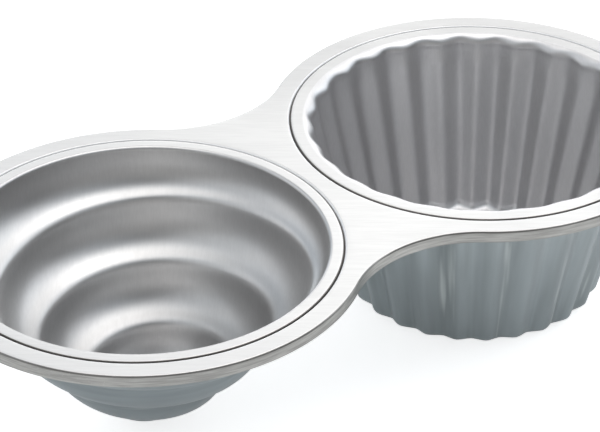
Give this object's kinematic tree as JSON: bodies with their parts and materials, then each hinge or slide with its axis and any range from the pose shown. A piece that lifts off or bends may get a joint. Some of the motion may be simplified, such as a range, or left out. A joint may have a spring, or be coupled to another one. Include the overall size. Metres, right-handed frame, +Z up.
{
  "type": "giant cupcake pan",
  "caption": "Sheet-steel baking pan: a swirled icing mould and a fluted cake-cup mould set into a waisted frame with a turned-down edge.",
  "frame": {"origin": "on the table under the middle of the pan, halfway between the two cups", "axes": "+Z up out of the cups, +X from the swirl cup to the fluted cup along the pan's length"},
  "size_m": [0.3594, 0.1844, 0.0825],
  "materials": {
    "frame_steel": "satin silver coated steel, fine straight grain",
    "swirl_steel": "satin silver inside, grey-green coated outside",
    "fluted_steel": "satin grey inside, grey-green coated outside"
  },
  "bodies": {
    "root": {"frame": "frame_steel", "swirl_cup": "swirl_steel", "fluted_cup": "fluted_steel"}
  },
  "joints": []
}
